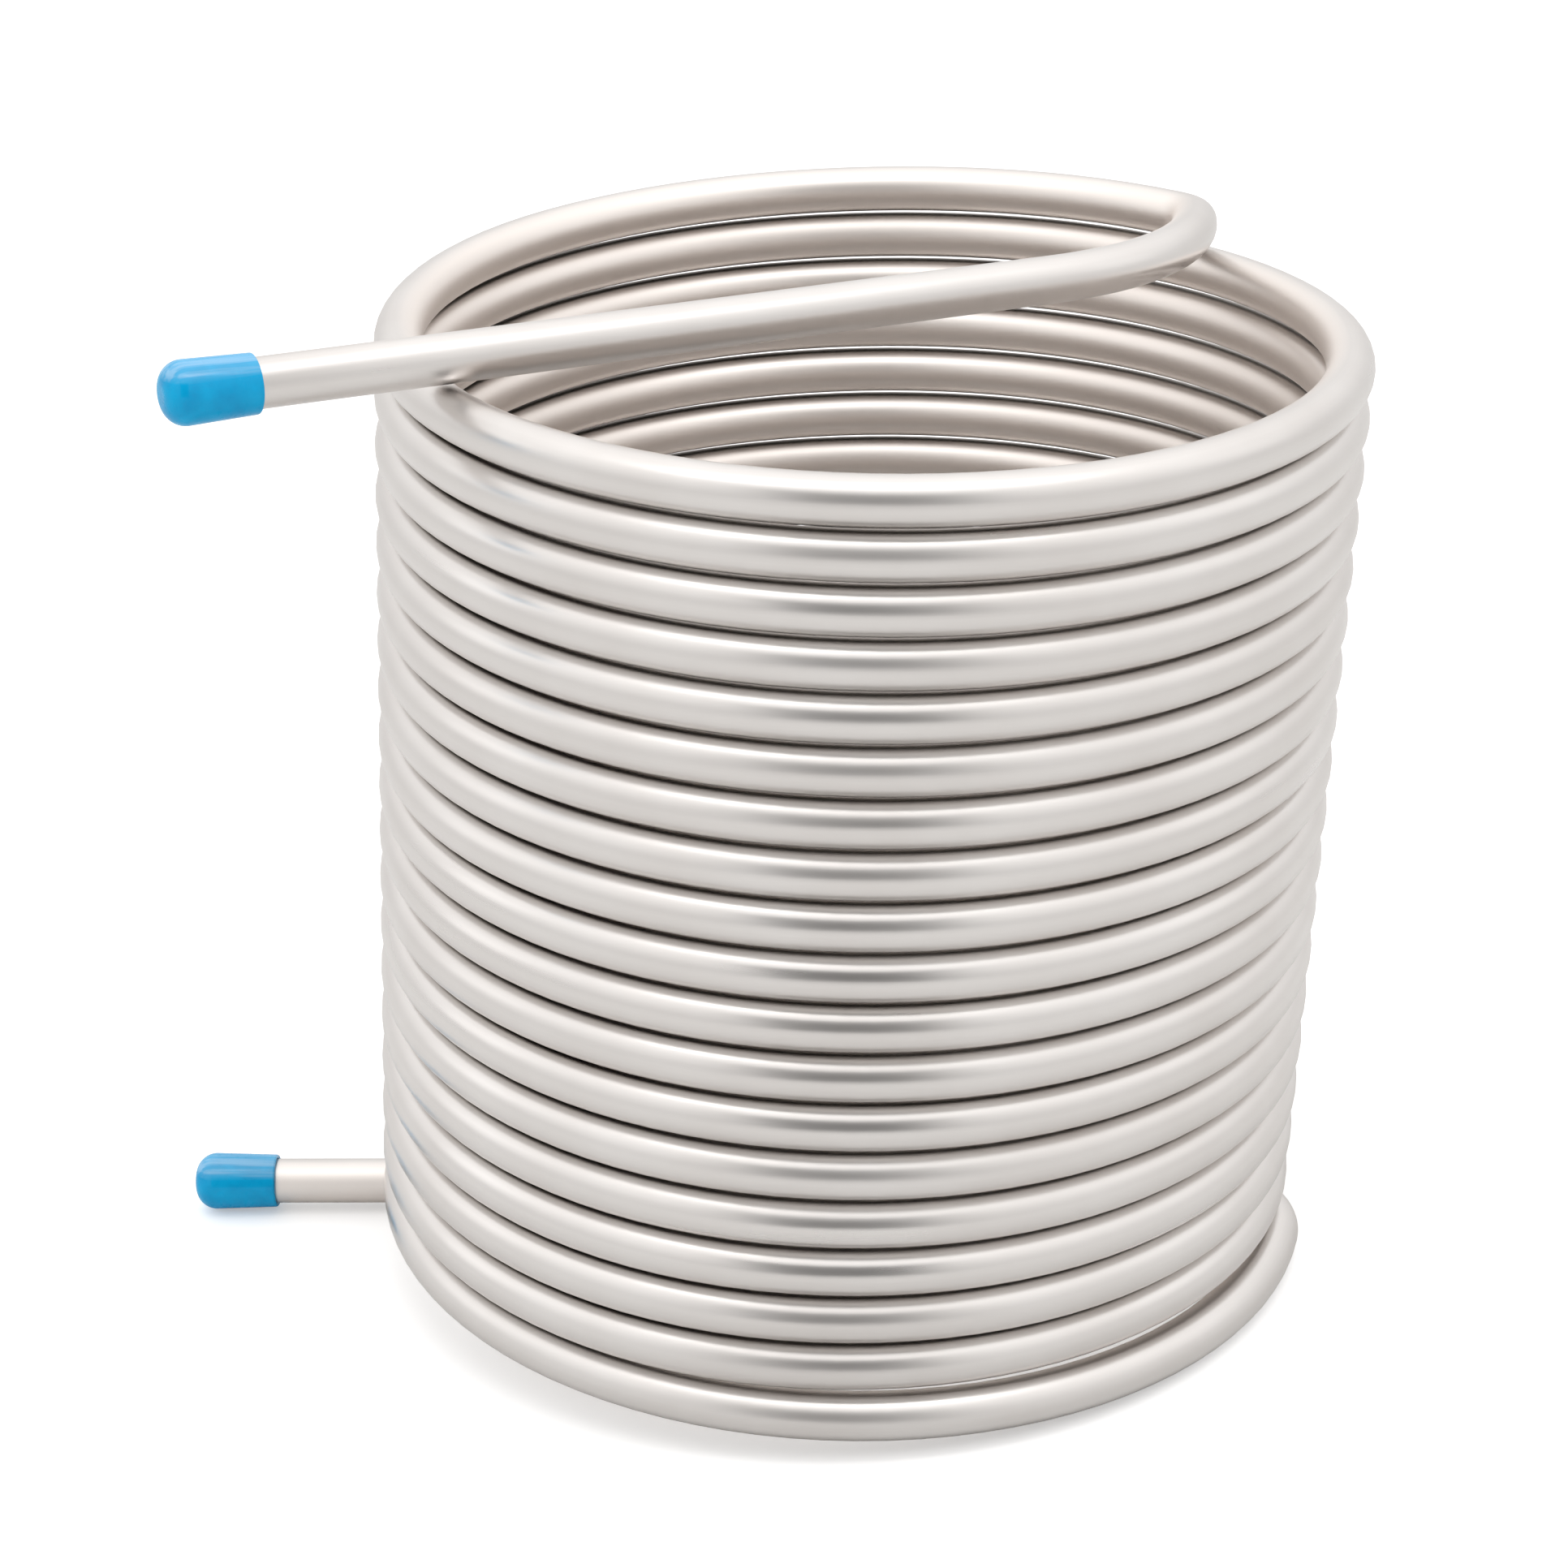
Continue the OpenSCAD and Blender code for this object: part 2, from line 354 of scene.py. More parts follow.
class FinishGraph(NodeGraph):
    """The node tree of a new material with a Principled shader."""

    def __init__(self, name: str) -> None:
        """Starts the material.

        Args:
            name: Name of the material.
        """
        self.material = bpy.data.materials.new(name)
        self.material.use_nodes = True
        super().__init__(self.material.node_tree)
        self.shader = self.tree.nodes["Principled BSDF"]

    def dressed(self, inputs: dict[str, Socket | Setting]) -> bpy.types.Material:
        """Feeds the shader.

        Args:
            inputs: What goes into each of the shader's inputs, by their names.

        Returns:
            The finished material.
        """
        for label, value in inputs.items():
            self.feed(self.shader.inputs[label], value)
        return self.material


@dataclass(frozen=True)
class DrawnStainless:
    """Satin drawn stainless tube, dull and painted paler inside its turns, painted shade between
    them.

    Attributes:
        gloss: Roughness where the haze is thinnest and thickest.
        inner_dulling: Roughness that the turns' inner side has on top.
        line_tone: How much the drawn lines shade the steel.
        blush_tone: How much the broad blush shades it.
        inner_side: Where the inner side starts and is full, in metres inwards from the middle.
        shaded_gap: Nearness at which the painted shade between turns starts and is full.
    """

    name: str = "drawn_stainless"
    bright: Triple = (0.78, 0.755, 0.736)
    hazy: Triple = (0.71, 0.678, 0.655)
    # Painted light: paler steel that brightens the inside of the turns
    inner_painted_light: Triple = (0.88, 0.825, 0.785)
    # Painted shade where the turns lie close together
    painted_gap_shade: Triple = (0.12, 0.095, 0.08)
    gloss: Span = (0.27, 0.40)
    inner_dulling: float = 0.14
    line_tone: float = 0.35
    blush_tone: float = 0.65
    inner_side: Span = (0.0, 0.004)
    shaded_gap: Span = (0.62, 0.84)
    lines: Grain = Grain((1500.0, 1500.0, 5.0), layers=3.0, layer_strength=0.6)
    haze: Grain = Grain((110.0, 110.0, 9.0), spread=(0.3, 0.75))
    blush: Grain = Grain((28.0, 28.0, 28.0), layers=3.0)
    dents: Relief = Relief(0.00004, 0.35)
    scratches: Relief = Relief(0.000012, 0.5)

    def material(self) -> bpy.types.Material:
        """Builds the material on the tube's own unrolled coordinates.

        Returns:
            The material.
        """
        nodes = FinishGraph(self.name)
        place = nodes.attribute(UNWOUND)
        lines = nodes.noise(place, self.lines)
        haze = nodes.noise(place, self.haze)
        blush = nodes.noise(nodes.spot(), self.blush)

        blush = nodes.ranged(blush, self.blush.spread, (0.0, self.blush_tone))
        tone = nodes.maths("MULTIPLY_ADD", lines, self.line_tone, blush)
        steel = nodes.mixed(tone, self.bright, self.hazy)
        # The side facing the coil's middle is duller and painted paler, a painted light inside the
        # coil
        inside = nodes.ranged(nodes.part_of(place, "X"), self.inner_side)
        steel = nodes.mixed(inside, steel, self.inner_painted_light)
        # Painted shade between the turns, darkest where another stretch of the tube nearly touches
        gap_shading = nodes.ranged(nodes.attribute(NEARNESS, "Fac"), self.shaded_gap)
        gloss = nodes.ranged(haze, self.haze.spread, self.gloss)
        return nodes.dressed(
            {
                "Base Color": nodes.mixed(gap_shading, steel, self.painted_gap_shade),
                "Metallic": 1.0,
                "Roughness": nodes.maths("MULTIPLY_ADD", inside, self.inner_dulling, gloss),
                "Normal": nodes.bumped(lines, self.scratches, nodes.bumped(haze, self.dents)),
            }
        )


@dataclass(frozen=True)
class DippedVinyl:
    """Glossy blue vinyl, dip moulded, with a faint orange peel and a streaky painted highlight on
    top.

    Attributes:
        gloss: Roughness in the dips and on the tops of the orange peel.
        body_shine: Shine of the vinyl under its skin.
        skin: Strength of the clear skin.
        skin_roughness: Roughness of the clear skin.
        streak_tone: Share of the painted highlight between its streaks and in them.
        highlight_height: Where the painted highlight starts and is full, in metres over the cap's
            axis.
    """

    name: str = "dipped_vinyl"
    deep: Triple = (0.0, 0.33, 0.65)
    milky: Triple = (0.0, 0.42, 0.77)
    # Painted highlight on the cap's upper side
    painted_highlight: Triple = (0.24, 0.53, 0.80)
    gloss: Span = (0.24, 0.36)
    body_shine: float = 0.05
    skin: float = 0.38
    skin_roughness: float = 0.1
    streak_tone: Span = (0.3, 1.0)
    highlight_height: Span = (0.0038, 0.0055)
    waves: Grain = Grain((170.0, 170.0, 170.0))
    peel: Grain = Grain((650.0, 650.0, 650.0))
    streaks: Grain = Grain((560.0, 560.0, 16.0), spread=(0.4, 0.58))
    swells: Relief = Relief(0.0004, 0.25)
    pimples: Relief = Relief(0.00006, 0.3)

    def material(self) -> bpy.types.Material:
        """Builds the material on the cap's own place and section.

        Returns:
            The material.
        """
        nodes = FinishGraph(self.name)
        spot = nodes.spot()
        peel = nodes.noise(spot, self.peel)
        waves = nodes.noise(spot, self.waves)
        vinyl = nodes.mixed(nodes.ranged(waves, self.waves.spread), self.deep, self.milky)
        section = nodes.attribute(SECTION)
        # Painted highlight: pale streaks over the upper side of the cap
        streaks = nodes.noise(section, self.streaks)
        streaks = nodes.ranged(streaks, self.streaks.spread, self.streak_tone)
        upper = nodes.ranged(nodes.part_of(section, "Y"), self.highlight_height)
        painted_highlight = nodes.maths("MULTIPLY", streaks, upper)
        return nodes.dressed(
            {
                "Base Color": nodes.mixed(painted_highlight, vinyl, self.painted_highlight),
                "Roughness": nodes.ranged(peel, self.peel.spread, self.gloss),
                "Normal": nodes.bumped(peel, self.pimples, nodes.bumped(waves, self.swells)),
                "Specular IOR Level": self.body_shine,
                "Coat Weight": self.skin,
                "Coat Roughness": self.skin_roughness,
            }
        )


@dataclass(frozen=True)
class PaleFloor:
    """Matt pale floor of the studio, which glows a little, so that shadows on it stay faint."""

    name: str = "pale_floor"
    mirrored_shade: Triple = (0.75, 0.75, 0.745)
    open_shade: Triple = (0.86, 0.86, 0.86)
    glow_colour: Triple = (1.0, 1.0, 1.0)
    glow: float = 0.34
    roughness: float = 0.9
    shine: float = 0.1

    def material(self) -> bpy.types.Material:
        """Builds the material, which is darker and doesn't glow where a piece mirrors it.

        Returns:
            The material.
        """
        nodes = FinishGraph(self.name)
        open_view = nodes.add("ShaderNodeLightPath").outputs["Is Camera Ray"]
        return nodes.dressed(
            {
                "Base Color": nodes.mixed(open_view, self.mirrored_shade, self.open_shade),
                "Roughness": self.roughness,
                "Specular IOR Level": self.shine,
                "Emission Color": (*self.glow_colour, 1.0),
                "Emission Strength": nodes.maths("MULTIPLY", open_view, self.glow),
            }
        )


# ---- Centre line of the tube --------------------------------------------------------------------


@dataclass(frozen=True)
class Knot:
    """A place on the centre line and the direction of travel there."""

    point: np.ndarray
    heading: np.ndarray

    def turned_back(self) -> "Knot":
        """Returns the same place with the opposite direction of travel."""
        return Knot(self.point, -self.heading)


@dataclass(frozen=True)
class Arc:
    """A circular arc that starts at a knot and ends at a point."""

    start: Knot
    end: np.ndarray

    @property
    def chord(self) -> np.ndarray:
        """The way from the arc's start to its end."""
        return self.end - self.start.point

    @property
    def turn(self) -> float:
        """Angle that the arc turns through, in radians."""
        return 2 * math.acos(min(1.0, float(self.start.heading @ unit(self.chord))))

    def knot_at(self, share: float) -> Knot:
        """Finds a knot on the arc.

        Args:
            share: How far round the arc it is, from 0 to 1.

        Returns:
            The knot.
        """
        ahead = self.start.heading
        inward = unit(self.chord - float(ahead @ self.chord) * ahead)
        radius = np.linalg.norm(self.chord) / 2 / math.sin(self.turn / 2)
        angle = self.turn * share
        reach = math.sin(angle) * ahead + (1 - math.cos(angle)) * inward
        heading = math.cos(angle) * ahead + math.sin(angle) * inward
        return Knot(self.start.point + radius * reach, heading)


def joining_arcs(first: Knot, last: Knot) -> tuple[Arc, Arc]:
    """Joins two knots smoothly with two arcs.

    Args:
        first: Knot that the arcs leave.
        last: Knot that they reach.

    Returns:
        The two arcs.
    """
    chord = last.point - first.point
    both = first.heading + last.heading
    opening = 2 * (1 - float(first.heading @ last.heading))
    along = float(chord @ both)
    reach = (math.sqrt(along * along + opening * float(chord @ chord)) - along) / opening
    middle = (first.point + last.point + reach * (first.heading - last.heading)) / 2
    way = unit(middle - first.point)
    heading = 2 * float(first.heading @ way) * way - first.heading
    return Arc(first, middle), Arc(Knot(middle, heading), last.point)


def compass(vector: np.ndarray) -> float:
    """Returns a direction's angle seen from above, in radians."""
    return math.atan2(vector[1], vector[0])


def direction(angle: float, slope: float = 0.0) -> np.ndarray:
    """Returns the direction with an angle seen from above, in radians, and a slope."""
    return unit(np.array([math.cos(angle), math.sin(angle), slope]))


def level_bend(start: Knot, radius: float, turn: float, side: Side) -> np.ndarray:
    """Follows a level bend.

    Args:
        start: Knot that the bend leaves.
        radius: Radius of the bend.
        turn: Angle of the bend, in radians.
        side: The side that it turns to.

    Returns:
        The point it reaches, at height 0.
    """
    ahead = unit(np.array([start.heading[0], start.heading[1], 0.0]))
    inward = side.value * np.array([-ahead[1], ahead[0], 0.0])
    end = start.point + radius * (math.sin(turn) * ahead + (1 - math.cos(turn)) * inward)
    return np.array([end[0], end[1], 0.0])


def turned(vector: np.ndarray, axis: str, degrees: float) -> np.ndarray:
    """Returns a vector turned about the X or the Y axis."""
    return np.array(Matrix.Rotation(math.radians(degrees), 3, axis)) @ vector


@dataclass
class CentreLine:
    """The route of the tube, from its upper end to its lower one.

    Sizes are in millimetres and angles in degrees. The angle round the coil is the one seen from
    above, and grows as the tube falls.

    Attributes:
        lean: How far the stack of turns leans to the right and to the back.
        tip_front: How far the turns are tipped down at the front.
        tip_right: How far they are tipped down at the right.
        leaving_angle: Where the tube leaves the coil at its bottom.
        last_turn_spread: How much wider the falling part-turn is than the bottom turn.
        last_turn_angle: Angle of the part-turn, which ends on the floor.
        exit_angle: Direction of the lower leg.
        lower_reach: How far the lower leg's end is beyond the turns.
        upper_bend_r: Radius of the tight bend that turns the tube back over the coil.
        upper_ease_r: Radius of the wide bend after it.
        upper_reach: How far the upper leg's end is beyond the top turn.
        flat_depth: How much the tube is flattened where it rests on the floor.
        cap_r: Largest radius of a cap, which the lower leg rises to make room for.
        cap_seat: How far a cap is pushed over its end.
        origin: The row frame's middle, seen from above, as measured from the coil's.
        lift: Height of the coil's middle above the floor.
        ends: The tube's two ends, with the directions out of it.
        legs: Where the two straight legs start, with the same directions.
        top: Start of the coil at its top, with the direction out of the coil.
        tight: End of the tight bend on top, with the direction on to the upper leg.
        landing: Where the part-turn reaches the floor, with the direction down the tube.
    """

    tube_r: float = 6.35
    pitch: float = 13.3
    top_turn_r: float = 124.0
    bottom_turn_r: float = 120.0
    coil_turns: float = 18.456
    lean: Span = (2.5, 4.6)
    tip_front: float = 1.4
    tip_right: float = 1.6
    leaving_angle: float = 212.5
    last_turn_spread: float = 2.5
    last_turn_angle: float = 136.5
    exit_angle: float = 180.0
    lower_bend_r: float = 27.0
    lower_reach: float = 65.0
    upper_bend_r: float = 15.0
    upper_bend_angle: float = 50.0
    upper_ease_r: float = 80.0
    upper_ease_angle: float = 60.0
    upper_reach: float = 70.0
    flat_depth: float = 0.5
    cap_r: float = 8.2
    cap_seat: float = 21.2
    origin: Span = (-27.2296, 1.18495)
    lift: float = field(default=0.0, init=False)
    ends: dict[End, Knot] = field(default_factory=dict, init=False)
    legs: dict[End, Knot] = field(default_factory=dict, init=False)
    top: Knot = field(init=False)
    tight: Knot = field(init=False)
    landing: Knot = field(init=False)

    def __post_init__(self) -> None:
        """Settles both ends and the height of the coil."""
        self._settle_lower_end()
        self._settle_upper_end()

    @property
    def start_angle(self) -> float:
        """Angle where the coil starts at its top."""
        return self.leaving_angle - 360 * self.coil_turns

    @property
    def lean_slopes(self) -> list[float]:
        """How far the stack leans to the right and to the back for each rise of one."""
        return [math.tan(math.radians(angle)) for angle in self.lean]

    def tipped(self, vector: np.ndarray) -> np.ndarray:
        """Returns a vector of the upright coil as the tipped coil has it."""
        return turned(turned(vector, "Y", self.tip_right), "X", self.tip_front)

    def wound(self, angle: float) -> Knot:
        """Finds a knot of the coil before it is lifted.

        Args:
            angle: Angle round the coil.

        Returns:
            The knot, with the coil's middle at height 0.
        """
        turns = (angle - self.leaving_angle + 180 * self.coil_turns) / 360
        growth = (self.bottom_turn_r - self.top_turn_r) / self.coil_turns
        radius = (self.top_turn_r + self.bottom_turn_r) / 2 + growth * turns
        lean_x, lean_y = self.lean_slopes
        z = -self.pitch * turns
        c, s = math.cos(math.radians(angle)), math.sin(math.radians(angle))
        grow, fall = growth / (2 * math.pi), -self.pitch / (2 * math.pi)
        point = np.array([radius * c + lean_x * z, radius * s + lean_y * z, z])
        ahead_x = grow * c - radius * s + lean_x * fall
        ahead_y = grow * s + radius * c + lean_y * fall
        ahead = unit(np.array([ahead_x, ahead_y, fall]))
        return Knot(self.tipped(point), self.tipped(ahead))

    def knot(self, angle: float) -> Knot:
        """Returns the coil's knot at an angle round it."""
        found = self.wound(angle)
        return Knot(found.point + self.lift * UP, found.heading)

    def _settle_lower_end(self) -> None:
        """Leads the tube to the floor, in under the coil and out to -X, and lifts the coil."""
        leg_z = self.tube_r - self.flat_depth
        leaving = self.wound(self.leaving_angle)
        turn = math.radians(self.last_turn_angle)
        landing_r = self.bottom_turn_r + self.last_turn_spread
        landing = level_bend(leaving, landing_r, turn, Side.LEFT)
        heading = compass(leaving.heading) + turn
        self.landing = Knot(landing + leg_z * UP, direction(heading))

        leg_heading = math.radians(self.exit_angle)
        rest = (leg_heading - heading) % (2 * math.pi)
        start = level_bend(self.landing, self.lower_bend_r, rest, Side.LEFT)
        left_r = self.bottom_turn_r + self.lean_slopes[0] * self.pitch * self.coil_turns / 2
        length = start[0] + left_r + self.lower_reach
        rise = (self.cap_r - leg_z) / (length - self.cap_seat)
        leg = Knot(start + leg_z * UP, direction(leg_heading, rise))
        self.legs[End.LOWER] = leg
        self.ends[End.LOWER] = Knot(leg.point + length * leg.heading, leg.heading)

        # The coil's lowest turn lies one pitch over the leg where it crosses it
        crossing = self.wound(self.exit_angle).point
        leg_height = leg_z + rise * (start[0] - crossing[0])
        self.lift = leg_height + self.pitch - crossing[2]

    def _settle_upper_end(self) -> None:
        """Leads the tube back across the top of the coil, just over the top turn."""
        self.top = self.knot(self.start_angle).turned_back()
        tight_turn = math.radians(self.upper_bend_angle)
        ease_turn = math.radians(self.upper_ease_angle)
        tight = level_bend(self.top, self.upper_bend_r, tight_turn, Side.RIGHT)
        tight_heading = compass(self.top.heading) - tight_turn
        tight_level = Knot(tight, direction(tight_heading))
        ease = level_bend(tight_level, self.upper_ease_r, ease_turn, Side.RIGHT)
        heading = tight_heading - ease_turn
        crossing_run, crossing_angle = self._crossing(ease, heading)

        # The leg climbs evenly, and passes one pitch over the top turn
        tight_run, ease_run = self.upper_bend_r * tight_turn, self.upper_ease_r * ease_turn
        climb = self.knot(crossing_angle).point[2] + self.pitch - self.top.point[2]
        rise = climb / (tight_run + ease_run + crossing_run)
        tight_z = self.top.point[2] + rise * tight_run
        self.tight = Knot(tight + tight_z * UP, direction(tight_heading, rise))
        leg = Knot(ease + (tight_z + rise * ease_run) * UP, direction(heading, rise))
        length = (crossing_run + self.upper_reach) * math.hypot(1, rise)
        self.legs[End.UPPER] = leg
        self.ends[End.UPPER] = Knot(leg.point + length * leg.heading, leg.heading)

    def _crossing(self, start: np.ndarray, heading: float) -> Span:
        """Finds where a straight leg crosses the top turn, seen from above.

        Args:
            start: Where the leg starts, inside the turn.
            heading: The leg's direction, in radians.

        Returns:
            How far it runs to the crossing, and the angle round the coil there.
        """
        stack = self.tipped(np.array([*self.lean_slopes, 1.0]))
        middle = stack * self.pitch * self.coil_turns / 2
        ahead = direction(heading)
        away = (start - middle) * np.array([1.0, 1.0, 0.0])
        along = float(away @ ahead)
        run = math.sqrt(along**2 + self.top_turn_r**2 - float(away @ away)) - along
        angle = compass(away + run * ahead) - math.radians(self.start_angle)
        return run, self.start_angle + math.degrees(angle % (2 * math.pi))

    def row_knot(self, knot: Knot) -> Knot:
        """Returns a knot in the row frame, in metres."""
        return Knot((knot.point - np.array([*self.origin, 0.0])) * MM, knot.heading)

    def end(self, which: End) -> Knot:
        """Returns an end of the tube and the way out of it, in metres."""
        return self.row_knot(self.ends[which])

    def route(self, step: float) -> list[Knot]:
        """Follows the tube from its upper end to its lower one.

        Args:
            step: Largest turn from a knot to the next, in radians.

        Returns:
            Knots along the tube, in metres.
        """
        count = math.ceil(2 * self.coil_turns)
        angles = [self.start_angle + 360 * self.coil_turns * i / count for i in range(count + 1)]
        upper = (self.ends[End.UPPER], self.legs[End.UPPER], self.tight)
        knots = [knot.turned_back() for knot in upper]
        knots += [self.knot(angle) for angle in angles]
        knots += [self.landing, self.legs[End.LOWER], self.ends[End.LOWER]]
        found: list[Knot] = []
        for first, last in zip(knots, knots[1:]):
            if float(first.heading @ last.heading) > PARALLEL:
                found.append(first)
                continue
            for arc in joining_arcs(first, last):
                pieces = max(1, math.ceil(arc.turn / step))
                found += [arc.knot_at(i / pieces) for i in range(pieces)]
        found.append(knots[-1])
        return [self.row_knot(knot) for knot in found]


# ---- The tube -----------------------------------------------------------------------------------


@dataclass
class ChillerTube:
    """The one long stainless tube: two straight legs, their bends and the close coil.

    Attributes:
        lip: Rounding of the edges at the open ends.
        lip_start: Share of the lip that its first facet takes off the radius.
        own_stretch: Length of tube on either side that doesn't count as near.
        near_reach: Gap to another stretch of the tube at which nearness ends.
        sides: Facets round the tube.
        step: Largest turn from a ring to the next, in radians.
    """

    line: CentreLine
    finish: DrawnStainless = field(default_factory=DrawnStainless)
    wall: float = 0.9 * MM
    bore_depth: float = 120.0 * MM
    lip: float = 0.25 * MM
    lip_start: float = 0.3
    own_stretch: float = 60.0 * MM
    near_reach: float = 4.0 * MM
    sides: int = 32
    step: float = math.radians(4.0)

    @property
    def radius(self) -> float:
        """Outer radius of the tube, in metres."""
        return self.line.tube_r * MM

    def build(self) -> bpy.types.Object:
        """Sweeps the tube's wall along the centre line and opens both ends.

        Returns:
            The tube, which stands for the CAD nodes of the coil and its legs.
        """
        knots = self.line.route(self.step)
        shape = bmesh.new()
        first_edges, last_edges = self._sweep(shape, knots)
        self._open_end(shape, first_edges, knots[0].turned_back())
        self._open_end(shape, last_edges, knots[-1])
        bmesh.ops.recalc_face_normals(shape, faces=shape.faces)
        tube = finished_object("stainless_tube", shape)
        tube.data.materials.append(self.finish.material())
        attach(tube, "tube")
        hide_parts("coil", "upper_leg", "lower_leg")
        return tube

    def _sweep(self, shape: bmesh.types.BMesh, knots: list[Knot]) -> tuple[Edges, Edges]:
        """Extrudes a ring from knot to knot.

        Each vertex keeps its place on the unrolled tube and its nearness for the finish.

        Args:
            shape: The tube's bmesh, still empty.
            knots: Knots along the tube, in metres.

        Returns:
            The edges of the first ring and of the last one.
        """
        unwound = shape.verts.layers.float_vector.new(UNWOUND)
        nearness = shape.verts.layers.float.new(NEARNESS)
        middles = np.array([knot.point for knot in knots])
        runs = np.linalg.norm(np.diff(middles, axis=0), axis=1)
        stations = np.concatenate(([0.0], np.cumsum(runs)))
        ring = bmesh.ops.create_circle(
            shape, cap_ends=False, radius=self.radius, segments=self.sides
        )
        verts = list(ring["verts"])
        for vert in verts:
            vert[unwound] = vert.co
        first_edges = last_edges = list(shape.edges)
        for index, (knot, station) in enumerate(zip(knots, stations)):
            if index:
                grown = bmesh.ops.extrude_edge_only(shape, edges=last_edges)["geom"]
                last_edges, verts = edges_of(grown), verts_of(grown)
            place = place_matrix(knot.point, knot.heading)
            for vert in verts:
                section = vert[unwound]
                vert[unwound] = Vector((section.x, section.y, station))
                vert.co = place @ Vector((section.x, section.y, 0.0))
            rest_on_floor(verts)
            others = middles[np.abs(stations - station) > self.own_stretch]
            for vert, near in zip(verts, self._nearness(verts, others)):
                vert[nearness] = near
        LOG.info("The tube is %.2f m long, in %d rings", stations[-1], len(knots))
        return first_edges, last_edges

    def _nearness(self, verts: list[bmesh.types.BMVert], others: np.ndarray) -> list[float]:
        """Measures how near other stretches of the tube come to a ring.

        Args:
            verts: Vertices of the ring.
            others: Places on the centre line of the other stretches.

        Returns:
            A value for each vertex, from 0 for none to 1 at a touch.
        """
        skin = np.array([vert.co for vert in verts])
        spans = np.linalg.norm(skin[:, None] - others[None], axis=2).min(axis=1)
        return (1.0 - np.clip((spans - self.radius) / self.near_reach, 0.0, 1.0)).tolist()

    def _open_end(self, shape: bmesh.types.BMesh, edges: Edges, end: Knot) -> None:
        """Turns an end's ring in over a rounded lip and leads it down the bore.

        Args:
            shape: The tube's bmesh.
            edges: Edges of the ring at the end.
            end: The end, in metres, with the direction out of the tube.
        """
        bore = self.radius - self.wall
        rings = (
            (self.radius - self.lip * self.lip_start, 0.0),
            (self.radius - self.lip, 0.0),
            (bore + self.lip, 0.0),
            (bore, -self.lip),
            (bore, -self.bore_depth),
        )
        out = Vector(end.heading)
        for vert in {vert for edge in edges for vert in edge.verts}:
            vert.co -= out * self.lip
        radius, level = self.radius, -self.lip
        for next_radius, next_level in rings:
            grown = bmesh.ops.extrude_edge_only(shape, edges=edges)["geom"]
            edges = edges_of(grown)
            middle = Vector(end.point + end.heading * level)
            for vert in verts_of(grown):
                arm = (vert.co - middle) * (next_radius / radius)
                vert.co = middle + arm + out * (next_level - level)
            radius, level = next_radius, next_level
        bmesh.ops.holes_fill(shape, edges=edges, sides=0)


# ---- The caps -----------------------------------------------------------------------------------


@dataclass
class PushOnCap:
    """A dip-moulded vinyl cap on one end of the tube. Sizes are in millimetres.

    Attributes:
        outer_r: Outer radius at the closed end.
        rim_r: Outer radius at the open rim, where the wall is thinner.
        end_wall: Wall at the closed end.
        inner_round: Rounding of the corner inside the closed end.
        dome: Rounding outside the closed end, which is a slightly flattened dome.
        rim: Rounding of the open rim.
        weld: Distance in metres at which points of the spun shape are merged.
    """

    which: End
    line: CentreLine
    finish: DippedVinyl
    bore_r: float = 6.4
    outer_r: float = 8.0
    rim_r: float = 7.5
    length: float = 23.5
    end_wall: float = 2.0
    inner_round: float = 1.2
    inner_facets: int = 6
    dome: float = 5.8
    dome_facets: int = 18
    rim: float = 0.6
    rim_facets: int = 5
    spin_steps: int = 96
    weld: float = 1e-6

    def outline(self) -> list[Span]:
        """Lists the half section, from the middle of the bore's end round to the outer end.

        Returns:
            Pairs of radius and height above the open rim.
        """
        top = self.length - self.end_wall
        corner = (self.bore_r - self.inner_round, top - self.inner_round)
        rim_in, rim_out = (self.bore_r + self.rim, self.rim), (self.rim_r - self.rim, self.rim)
        dome = (self.outer_r - self.dome, self.length - self.dome)
        return [
            (0.0, top),
            *self._rounding(corner, self.inner_round, (90, 0), self.inner_facets),
            *self._rounding(rim_in, self.rim, (180, 270), self.rim_facets),
            *self._rounding(rim_out, self.rim, (270, 360), self.rim_facets),
            *self._rounding(dome, self.dome, (0, 90), self.dome_facets),
            (0.0, self.length),
        ]

    @staticmethod
    def _rounding(middle: Span, radius: float, angles: Span, facets: int) -> list[Span]:
        """Lists points round a corner.

        Args:
            middle: Middle of the rounding.
            radius: Its radius.
            angles: Where it starts and stops, in degrees.
            facets: How many facets it has.

        Returns:
            Pairs of radius and height, one more than there are facets.
        """
        start, stop = angles
        turns = [math.radians(start + (stop - start) * i / facets) for i in range(facets + 1)]
        return [
            (middle[0] + radius * math.cos(turn), middle[1] + radius * math.sin(turn))
            for turn in turns
        ]

    def build(self) -> bpy.types.Object:
        """Spins the section round the leg's axis.

        Each vertex keeps its place on the upright cap for the finish.

        Returns:
            The cap, which stands for its CAD node.
        """
        shape = bmesh.new()
        section = shape.verts.layers.float_vector.new(SECTION)
        verts = [shape.verts.new((r * MM, 0.0, z * MM)) for r, z in self.outline()]
        edges = [shape.edges.new(pair) for pair in zip(verts, verts[1:])]
        bmesh.ops.spin(
            shape,
            geom=verts + edges,
            cent=(0, 0, 0),
            axis=(0, 0, 1),
            angle=2 * math.pi,
            steps=self.spin_steps,
            use_merge=True,
        )
        bmesh.ops.remove_doubles(shape, verts=shape.verts, dist=self.weld)
        bmesh.ops.recalc_face_normals(shape, faces=shape.faces)
        for vert in shape.verts:
            vert[section] = vert.co
        end = self.line.end(self.which)
        rim = end.point - self.line.cap_seat * MM * end.heading
        bmesh.ops.transform(shape, matrix=place_matrix(rim, end.heading), verts=shape.verts)
        rest_on_floor(shape.verts)
        cap = finished_object(f"{self.which.value}_vinyl_cap", shape)
        cap.data.materials.append(self.finish.material())
        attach(cap, f"cap_{self.which.value}")
        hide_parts(f"{self.which.value}_cap")
        return cap


# ---- The studio ---------------------------------------------------------------------------------


